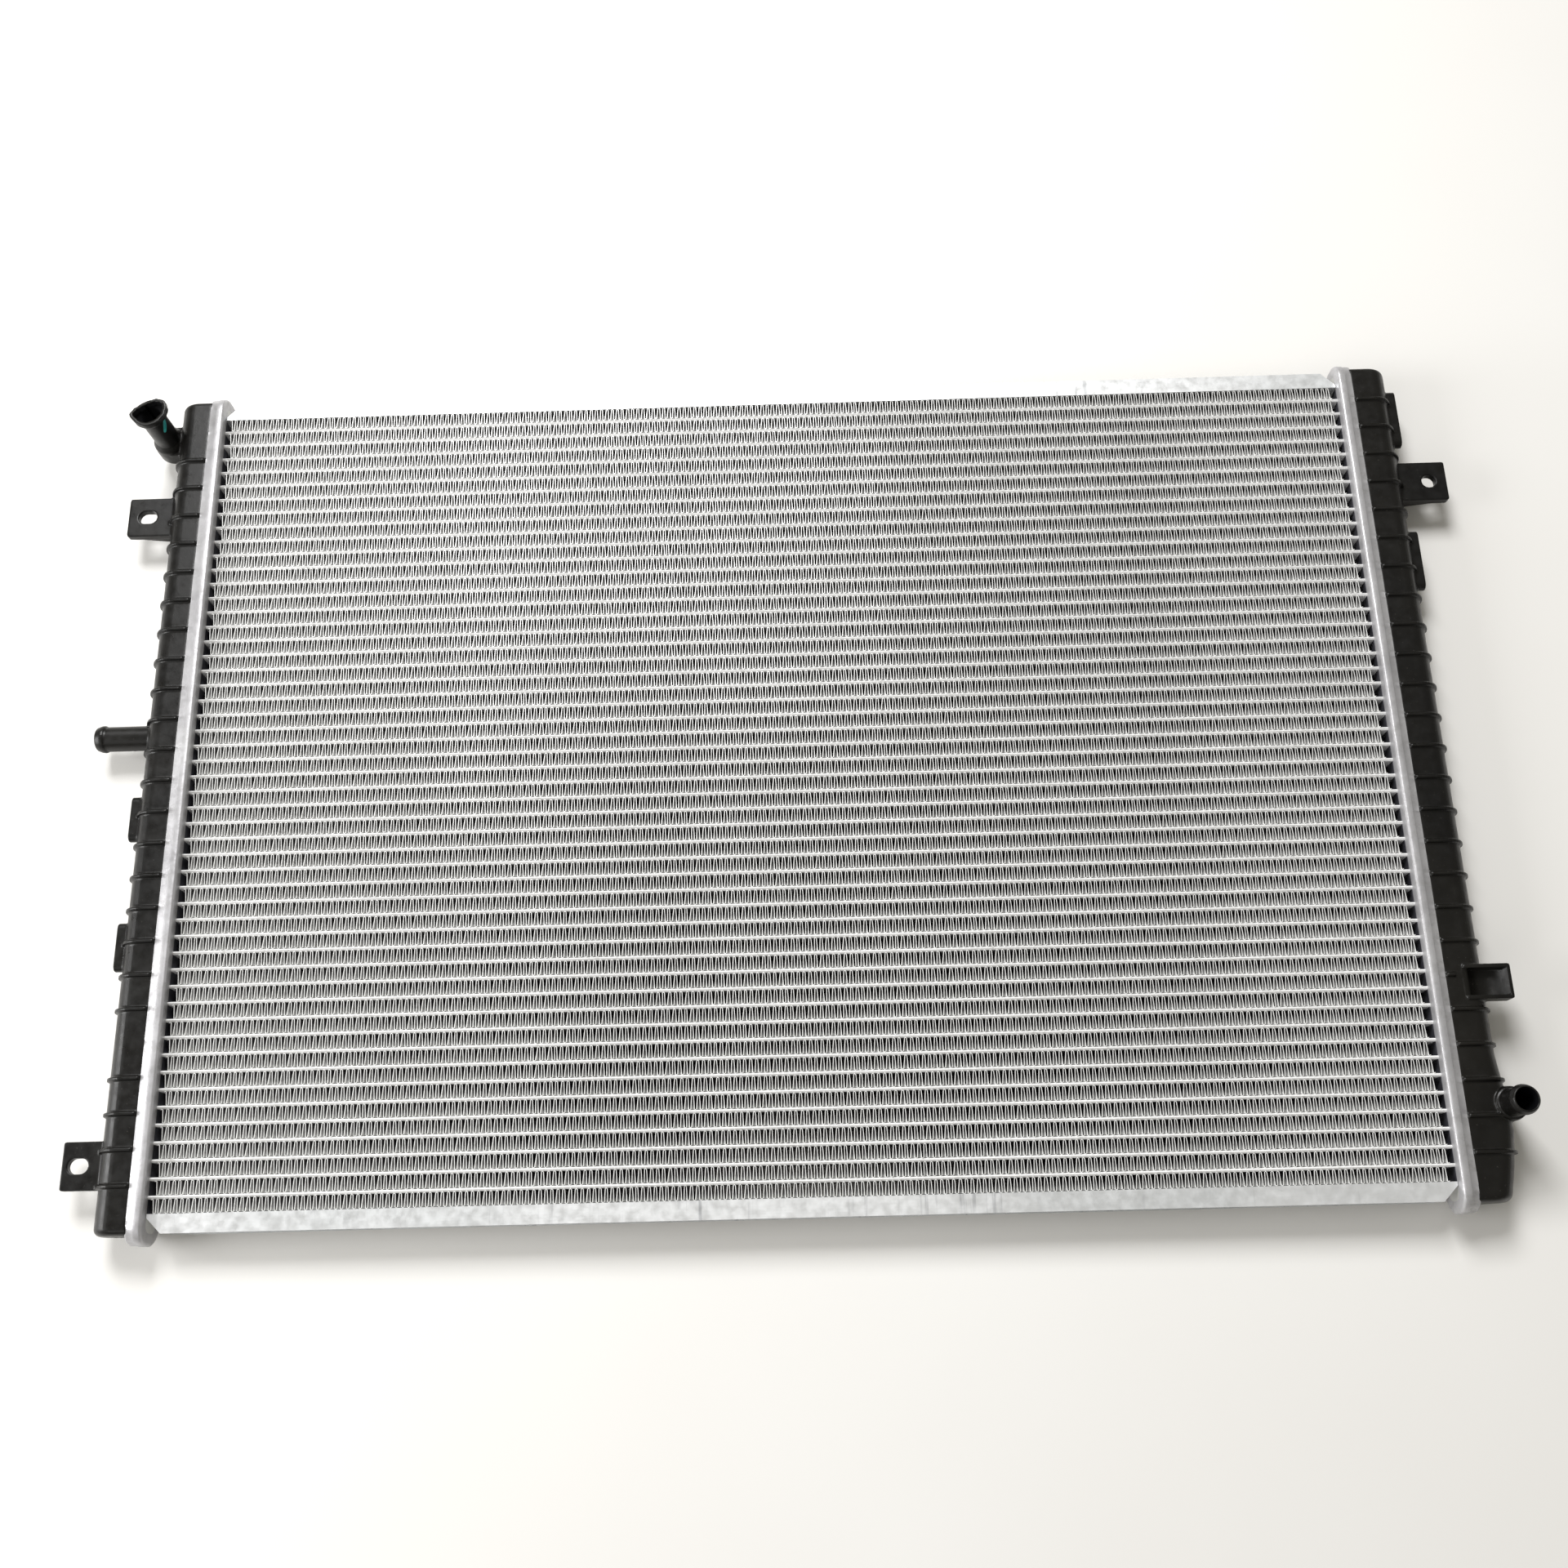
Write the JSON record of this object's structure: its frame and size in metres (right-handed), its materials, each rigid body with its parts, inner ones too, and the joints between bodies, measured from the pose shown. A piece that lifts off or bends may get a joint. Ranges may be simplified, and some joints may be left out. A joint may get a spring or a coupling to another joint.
{
  "type": "car_radiator",
  "caption": "Slim cross-flow car radiator: a brazed aluminium tube-and-fin core between two ribbed black plastic end tanks with hose stubs and mounting tabs.",
  "frame": {"origin": "centre of the bounding box in X and Y, on the plane the radiator lies on (Z = 0)", "axes": "+X runs along the tubes from the inlet tank to the outlet tank, +Y runs across the tubes towards the inlet end, +Z points out of the front face of the core"},
  "size_m": [0.8424, 0.532, 0.055],
  "materials": {
    "tank_plastic": "black glass-filled nylon moulding, satin, slightly grainy",
    "header_aluminium": "pale pressed and brazed aluminium, matte, fine crimp marks",
    "side_plate_aluminium": "pale rolled aluminium with flux stains and scuffs",
    "core_aluminium": "dull brazed aluminium",
    "seal_rubber": "moulded black rubber"
  },
  "bodies": {
    "root": {"left_tank": "tank_plastic", "right_tank": "tank_plastic", "left_header": "header_aluminium", "right_header": "header_aluminium", "left_gasket": "seal_rubber", "right_gasket": "seal_rubber", "top_side_plate": "side_plate_aluminium", "bottom_side_plate": "side_plate_aluminium", "tube_01": "core_aluminium", "tube_02": "core_aluminium", "tube_03": "core_aluminium", "tube_04": "core_aluminium", "tube_05": "core_aluminium", "tube_06": "core_aluminium", "tube_07": "core_aluminium", "tube_08": "core_aluminium", "tube_09": "core_aluminium", "tube_10": "core_aluminium", "tube_11": "core_aluminium", "tube_12": "core_aluminium", "tube_13": "core_aluminium", "tube_14": "core_aluminium", "tube_15": "core_aluminium", "tube_16": "core_aluminium", "tube_17": "core_aluminium", "tube_18": "core_aluminium", "tube_19": "core_aluminium", "tube_20": "core_aluminium", "tube_21": "core_aluminium", "tube_22": "core_aluminium", "tube_23": "core_aluminium", "tube_24": "core_aluminium", "tube_25": "core_aluminium", "tube_26": "core_aluminium", "tube_27": "core_aluminium", "tube_28": "core_aluminium", "tube_29": "core_aluminium", "tube_30": "core_aluminium", "tube_31": "core_aluminium", "tube_32": "core_aluminium", "tube_33": "core_aluminium", "tube_34": "core_aluminium", "tube_35": "core_aluminium", "tube_36": "core_aluminium", "tube_37": "core_aluminium", "tube_38": "core_aluminium", "tube_39": "core_aluminium", "tube_40": "core_aluminium", "tube_41": "core_aluminium", "tube_42": "core_aluminium", "tube_43": "core_aluminium", "tube_44": "core_aluminium", "tube_45": "core_aluminium", "tube_46": "core_aluminium", "tube_47": "core_aluminium", "tube_48": "core_aluminium", "tube_49": "core_aluminium", "tube_50": "core_aluminium"}
  },
  "joints": []
}
